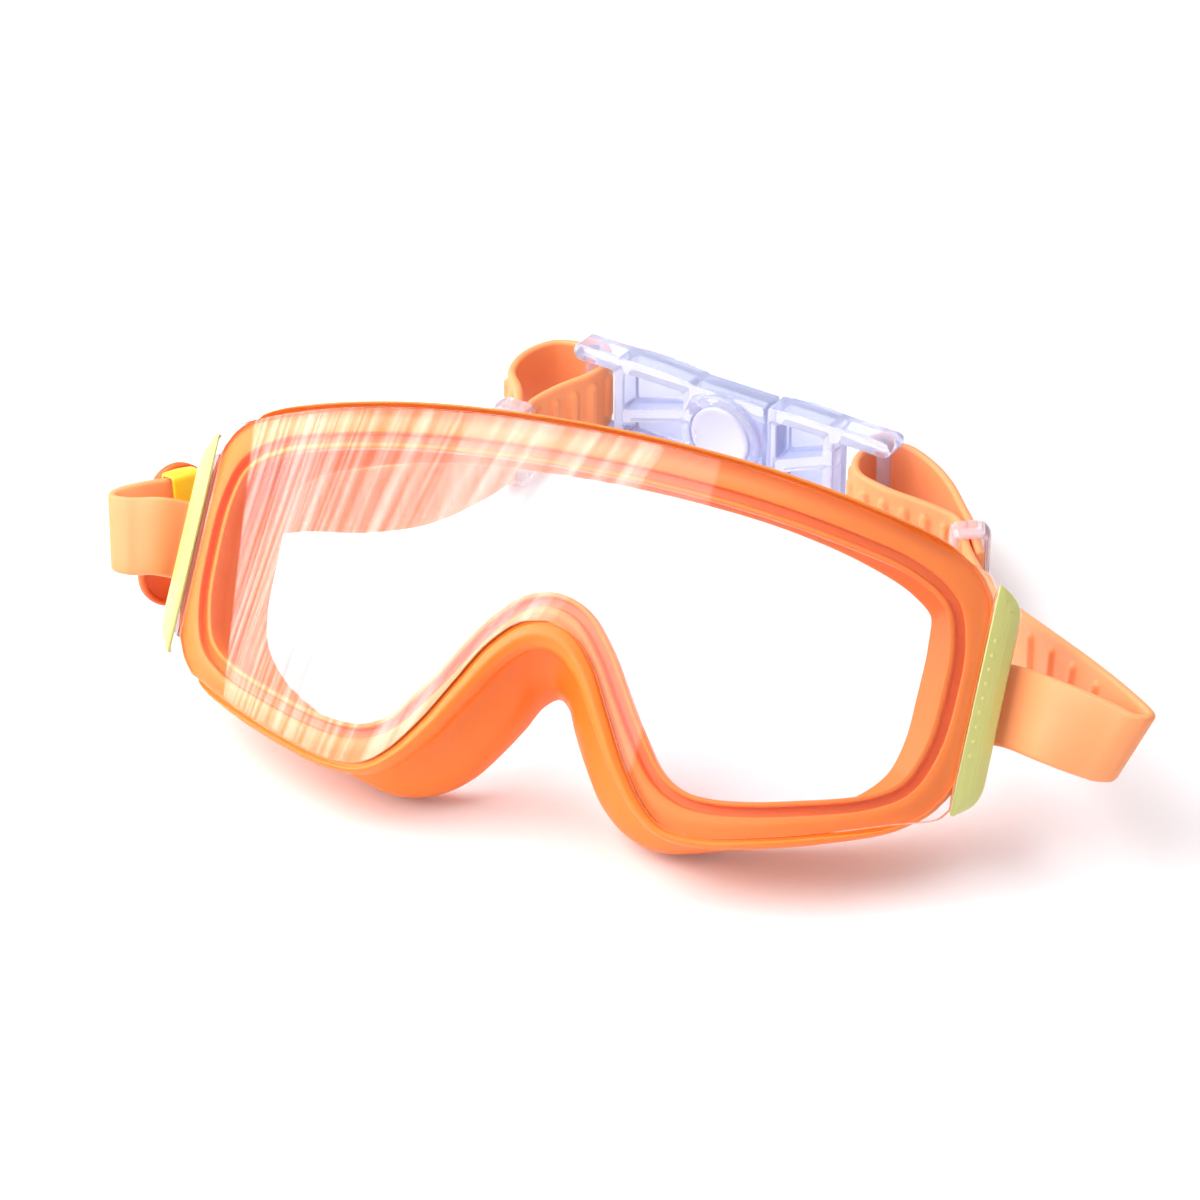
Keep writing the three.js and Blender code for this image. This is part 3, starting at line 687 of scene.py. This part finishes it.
def strap_section(station, rib_side, ribs):
    centre, across, normal, along = station
    flat = STRAP_WIDTH / 2 - EDGE_RADIUS
    edge_middle = (RIBBED_SIDE - SMOOTH_SIDE) / 2
    edge_half = (RIBBED_SIDE + SMOOTH_SIDE) / 2
    turns = [math.pi * k / 6 for k in range(1, 6)]
    points = []
    for w in [flat - k * (2 * flat) / 32 for k in range(33)]:
        height = RIBBED_SIDE + rib_height(along, w, ribs)
        points.append(centre + across * w + normal * rib_side * height)
    for turn in turns:
        points.append(centre - across * (flat + EDGE_RADIUS * math.sin(turn))
                      + normal * rib_side * (edge_middle + edge_half * math.cos(turn)))
    for k in range(5):
        points.append(centre - across * flat * (1 - k / 2) - normal * rib_side * SMOOTH_SIDE)
    for turn in turns:
        points.append(centre + across * (flat + EDGE_RADIUS * math.sin(turn))
                      + normal * rib_side * (edge_middle - edge_half * math.cos(turn)))
    return points


def add_strap(word, side, fold_rows, rows, rib_side, zones):
    start = on_table(side * (PIN_X + 1.2), PIN_BACK - 1, -1.8)
    second = on_table(side * (PIN_X + 4.6), PIN_BACK - 1.1, -1.8)
    whole = [(*start, 0, LEAN_Y), (*second, 0, LEAN_Y), *fold_rows, *rows[1:]]
    ribs = rib_centres(zones)
    stations = strap_stations(whole, STATION_SPACING)
    sections = [strap_section(station, rib_side, ribs) for station in stations]
    strap = add_mesh(f"head_strap_{word}", *grid(sections, close_rows=False, caps=True), TABLE, "strap")
    # The direction from the outer layer to the returning one, square to the strap's width at the fold.
    across = Vector((*rows[0][3:], 1)).normalized()
    returning = Vector((side * 0.5, 0.866, 0))
    returning = (returning - across * returning.dot(across)).normalized()
    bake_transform(strap)
    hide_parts(f"strap_{word}", f"strap_end_{word}")
    add_strap_eye(word, side)


def add_strap_eye(word, side):
    """The round eye at the strap's end, on the clip pin."""
    rows = []
    half = STRAP_WIDTH / 2
    profile = rounded([Vector((1.5, 0, -half)), Vector((2.3, 0, -half)), Vector((2.3, 0, half)),
                       Vector((1.5, 0, half))], (0.2, 0.5, 0.5, 0.2), 3)
    for k in range(40):
        turn = 2 * math.pi * k / 40
        rows.append([(side * PIN_X + point.x * math.cos(turn), PIN_BACK + point.x * math.sin(turn),
                      point.z - 1.8) for point in profile])
    eye = add_mesh(f"strap_eye_{word}", *grid(rows), MASK, "strap", "mask")


# ------------------------------------------------------------------ rings round the strap
def strap_frame(rows, row, sideways=0.0):
    """Matrix that puts a piece on the strap at a row count along it, as the solids do."""
    top, bottom = strap_edges(rows)
    t = row / (len(rows) - 1)
    high, low = catmull(top, t), catmull(bottom, t)
    across = (high - low).normalized()
    ahead = catmull(top, t + 1e-4) + catmull(bottom, t + 1e-4)
    behind = catmull(top, t - 1e-4) + catmull(bottom, t - 1e-4)
    normal = across.cross((ahead - behind).normalized()).normalized()
    centre = (high + low) / 2 + normal * sideways
    along = normal.cross(across)
    turn = Matrix((along, normal, across)).transposed().to_4x4()
    return TABLE @ Matrix.Translation(centre) @ turn


def band_ring(long, thick, tall, wall, swell=0.0):
    """A closed band round a rounded slot, with soft edges; swell rounds its outer faces."""
    slot = [Vector((0, -thick / 2, -tall / 2)), Vector((0, thick / 2, -tall / 2)),
            Vector((0, thick / 2, tall / 2)), Vector((0, -thick / 2, tall / 2))]
    path = rounded(slot, (0.6,) * 4, 5)
    count = len(path)
    rows = []
    for i, point in enumerate(path):
        along = (path[(i + 1) % count] - path[i - 1]).normalized()
        out = Vector((0, along.z, -along.y))
        section = [(-long / 2, 0.0), (-long / 2, wall * 0.7), (0, wall + swell), (long / 2, wall * 0.7),
                   (long / 2, 0.0)]
        corners = [point + Vector((x, 0, 0)) + out * d for x, d in section]
        rows.append(rounded(corners, (0.15, 0.5, long * 0.3, 0.5, 0.15), 4))
    return grid(rows)


def add_keeper(word, rows, row, sideways):
    place = strap_frame(rows, row, sideways)
    net = band_ring(5.6, 5.2, STRAP_WIDTH + 2 * GAP, 1.35, 0.35)
    keeper = add_mesh(f"strap_keeper_{word}", *net, place, "fitting", f"keeper_{word}_body")
    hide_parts(f"keeper_{word}")


SLIDE_LONG = 6.4
SLIDE_SLOT = 3.7
SLIDE_WALL = 1.0
SLIDE_FACE = SLIDE_SLOT / 2 + SLIDE_WALL
STEM_AT = -0.8
STEM_DROP = 4.8
TAB_SPAN = 15.4
TAB_RADIUS = 6.2
TAB_TILT = math.radians(15)


def add_slide():
    place = strap_frame(LEFT_STRAP, 4.85)
    net = band_ring(SLIDE_LONG, SLIDE_SLOT, STRAP_WIDTH + 0.6, SLIDE_WALL)
    ring = add_mesh("slide_ring", *net, place, "yellow", "slide_body")
    out = Matrix.Rotation(-math.pi / 2, 4, "X")
    stem = turned([(0, -0.2), (2.1, -0.2), (2.1, 1.3), (1.9, 1.5), (0, 1.5)], 40)
    stem_place = place @ Matrix.Translation((STEM_AT, SLIDE_FACE, -STEM_DROP)) @ out
    stem_piece = add_mesh("slide_stem", *stem, stem_place, "yellow", "slide_body")
    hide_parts("strap_slide")
    tilt = Matrix.Rotation(TAB_TILT, 4, "Y")
    tab_place = place @ Matrix.Translation((STEM_AT, SLIDE_FACE + GAP, -STEM_DROP)) @ tilt
    tab = add_mesh("slide_tab_dish", *tab_net(), tab_place, "tab", "slide_body")
    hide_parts("slide_tab")


def tab_net():
    """A round-ended dish, from its floor over the raised rim and round the back."""
    # (distance inside the outline, depth)
    rim = [(5.2, 1.3), (1.7, 1.3), (1.25, 1.1), (1.05, 0.5), (0.75, 0.1), (0.35, 0.1), (0, 0.5), (0, 1.9),
           (0.35, 2.4), (1.0, 2.6), (5.2, 2.6)]
    steps = 24
    end = []
    for k in range(steps + 1):
        turn = math.pi * k / steps
        end.append((Vector((math.cos(turn), 0, math.sin(turn))), TAB_SPAN / 2))
    ring = end + [(-direction, -reach) for direction, reach in end]
    rows = []
    for direction, reach in ring:
        rows.append([direction * (TAB_RADIUS - inside) + Vector((0, depth, reach))
                     for inside, depth in rim])
    points, faces = grid(rows, close_columns=False)
    width = len(rows[0])
    count = len(rows)
    faces.append(tuple(i * width for i in range(count)))
    faces.append(tuple(i * width + width - 1 for i in reversed(range(count))))
    return points, faces


def turned(profile, steps):
    """Points and faces of a profile of radius and height turned round Z."""
    rows = []
    for k in range(steps):
        turn = 2 * math.pi * k / steps
        rows.append([(r * math.cos(turn), r * math.sin(turn), h) for r, h in profile])
    return grid(rows, close_columns=False)


# ------------------------------------------------------------------ buckle
BUCKLE_TALL = 22.4
BAR_AT = 34.5
BAR_RADIUS = 1.5
SOCKET_END = 27.5
PLUG_END = 24.5
RING_AT = -1.2
RING_MID = 12.0
RING_RADIUS = 9.2
BUTTON_RADIUS = 6.75
SPLIT_AT = 8.8


def slab(outline, y0, y1):
    """Points and faces of an outline in X and Z, from y0 to y1."""
    count = len(outline)
    points = [(x, y0, z) for x, z in outline] + [(x, y1, z) for x, z in outline]
    faces = [tuple(range(count)), tuple(range(2 * count - 1, count - 1, -1))]
    faces += [(i, (i + 1) % count, count + (i + 1) % count, count + i) for i in range(count)]
    return points, faces


def box(x0, x1, y0, y1, z0, z1):
    return slab([(x0, z0), (x1, z0), (x1, z1), (x0, z1)], y0, y1)


def circle(x, z, radius, steps=64):
    return [(x + radius * math.cos(2 * math.pi * k / steps), z + radius * math.sin(2 * math.pi * k / steps))
            for k in range(steps)]


def carve(obj, nets, operation="DIFFERENCE"):
    """Cuts each net out of a buckle piece, or joins it on, and keeps the result as its mesh."""
    for points, faces in nets:
        tool = add_mesh("tool", points, faces, BUCKLE, "buckle")
        modifier = obj.modifiers.new("carve", "BOOLEAN")
        modifier.operation = operation
        modifier.solver = "EXACT"
        modifier.object = tool
        evaluated = obj.evaluated_get(bpy.context.evaluated_depsgraph_get())
        mesh = bpy.data.meshes.new_from_object(evaluated)
        obj.modifiers.clear()
        obj.data = mesh
        bpy.data.objects.remove(tool)


def soften(obj):
    """Moulded edges: the carved piece is remeshed finely and smoothed, which rounds every edge alike."""
    remesh = obj.modifiers.new("remesh", "REMESH")
    remesh.mode = "VOXEL"
    remesh.voxel_size = 0.36 * MM
    remesh.use_smooth_shade = True
    smooth = obj.modifiers.new("smooth", "SMOOTH")
    smooth.factor = 0.5
    smooth.iterations = 5


def wing_edge(x, inner, outer):
    """Height of the wing's upper edge: a shallow arch that dips towards the ring."""
    u = (x - inner) / (outer - inner)
    return BUCKLE_TALL - 1.2 + 1.2 * math.sin(math.pi * min(0.12 + 0.62 * u, 1))


def wing_outline(inner, outer):
    steps = 14
    xs = [inner + (outer - inner) * k / steps for k in range(steps + 1)]
    return [(x, 0) for x in xs] + [(x, wing_edge(x, inner, outer)) for x in reversed(xs)]


def arm(near, far, low, high):
    """A flat arm with a round end that holds the slot bar."""
    radius = (high - low) / 2
    middle = (low + high) / 2
    out = math.copysign(radius, far - near)
    tip = [(far - out + out * math.sin(math.pi * k / 12), middle - radius * math.cos(math.pi * k / 12))
           for k in range(13)]
    return slab([(near, low), *tip, (near, high)], -3.0, 3.0)


def slot_nets(end, body_end):
    near = end * (body_end - 1)
    far = end * (BAR_AT + 3)
    bar = [(end * BAR_AT + BAR_RADIUS * math.cos(k * math.pi / 12), BAR_RADIUS * math.sin(k * math.pi / 12))
           for k in range(24)]
    count = len(bar)
    points = [(x, y, 1) for x, y in bar] + [(x, y, 20) for x, y in bar]
    faces = [tuple(range(count)), tuple(range(2 * count - 1, count - 1, -1))]
    faces += [(i, (i + 1) % count, count + (i + 1) % count, count + i) for i in range(count)]
    return [arm(near, far, 0, 3.2), arm(near, far, BUCKLE_TALL - 3.8, BUCKLE_TALL - 0.2), (points, faces)]


def wing_windows(x0, x1):
    """Two window openings with a slanting strut left between them."""
    low, high = 3.4, 18.8
    near, far = x0 + 2.4, x1 - 2.4
    strut_half = 1.6
    strut_lean = 2.2
    middle = (low + high) / 2
    under = middle - strut_half
    over = middle + strut_half
    lower = [(near, low), (far, low), (far, under + strut_lean), (near, under - strut_lean)]
    upper = [(near, over - strut_lean), (far, over + strut_lean), (far, high), (near, high)]
    # A thin back wall is left in each window.
    back_wall = 2.4
    return [slab(lower, -5, back_wall), slab(upper, -5, back_wall)]


def add_socket():
    wing_end = RING_AT - RING_RADIUS + 2
    socket = add_mesh("buckle_socket_shell", *slab(wing_outline(wing_end, -SOCKET_END), -3.2, 3.2), BUCKLE,
                      "buckle", "socket_body")
    joins = [box(wing_end - 0.5, SPLIT_AT - GAP, -3.2, 3.2, 0.6, BUCKLE_TALL - 1)]
    joins += slot_nets(-1, SOCKET_END)
    joins.append(slab(circle(RING_AT, RING_MID, RING_RADIUS), -4.4, -3.0))
    carve(socket, joins, "UNION")
    cuts = wing_windows(-SOCKET_END, wing_end)
    cuts.append(box(RING_AT - 8.4, SPLIT_AT + 1, -1.5, 2, RING_MID - 5.6, RING_MID + 5.6))
    cuts.append(slab(circle(RING_AT, RING_MID, BUTTON_RADIUS + GAP), -6, 0))
    carve(socket, cuts)
    soften(socket)
    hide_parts("buckle_socket")


def add_plug():
    start = SPLIT_AT + GAP
    plug = add_mesh("buckle_plug_shell", *slab(wing_outline(start, PLUG_END), -3.2, 3.2), BUCKLE, "buckle",
                    "plug_body")
    joins = slot_nets(1, PLUG_END)
    joins.append(box(RING_AT - 5.4, SPLIT_AT + 1.5, -0.6, 1.6, RING_MID - 5.2, RING_MID + 5.2))
    carve(plug, joins, "UNION")
    carve(plug, wing_windows(start, PLUG_END))
    soften(plug)
    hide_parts("buckle_plug")


def add_button():
    profile = [(0, -1.7), (6.2, -1.7), (BUTTON_RADIUS, -1.2), (BUTTON_RADIUS, -0.4), (6.4, 0), (5.6, 0),
               (5.2, -0.25), (0, -0.3)]
    place = BUCKLE @ Matrix.Translation((RING_AT, -4.6, RING_MID)) @ Matrix.Rotation(math.pi / 2, 4, "X")
    button = add_mesh("release_disc", *turned(profile, 96), place, "button", "button_body")
    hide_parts("release_button")


# ------------------------------------------------------------------ floor
def add_floor():
    size = 3.0
    mesh = bpy.data.meshes.new("floor")
    corners = [(-size, -size, 0), (size, -size, 0), (size, size, 0), (-size, size, 0)]
    mesh.from_pydata(corners, [], [(0, 1, 2, 3)])
    material, tree, bsdf = shader("pale_floor")
    pale = tone(tree, noise(tree, 3), (0.9, 0.9, 0.92), (0.93, 0.93, 0.95))
    tree.links.new(pale, bsdf.inputs["Base Color"])
    bsdf.inputs["Roughness"].default_value = 0.9
    mesh.materials.append(material)
    floor = bpy.data.objects.new("floor", mesh)
    floor.location.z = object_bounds()[0][2] - 0.0002
    bpy.context.scene.collection.objects.link(floor)


# ------------------------------------------------------------------ assembly
add_camera()
add_lights()
add_lens()
add_skirt()
for word, side in (("left", -1), ("right", 1)):
    add_clip(word, side)
finish_hidden_fittings()
add_strap("left", -1, LEFT_FOLD, LEFT_STRAP, -1, [(50, 186, 4.6)])
add_strap("right", 1, RIGHT_FOLD, RIGHT_STRAP, 1, [(45, 72, 8.9), (82, 190, 4.6)])
add_keeper("left", LEFT_STRAP, 11.5, 1.3)
add_keeper("right", RIGHT_STRAP, 10.5, -1.3)
add_slide()
add_socket()
add_plug()
add_button()
add_floor()
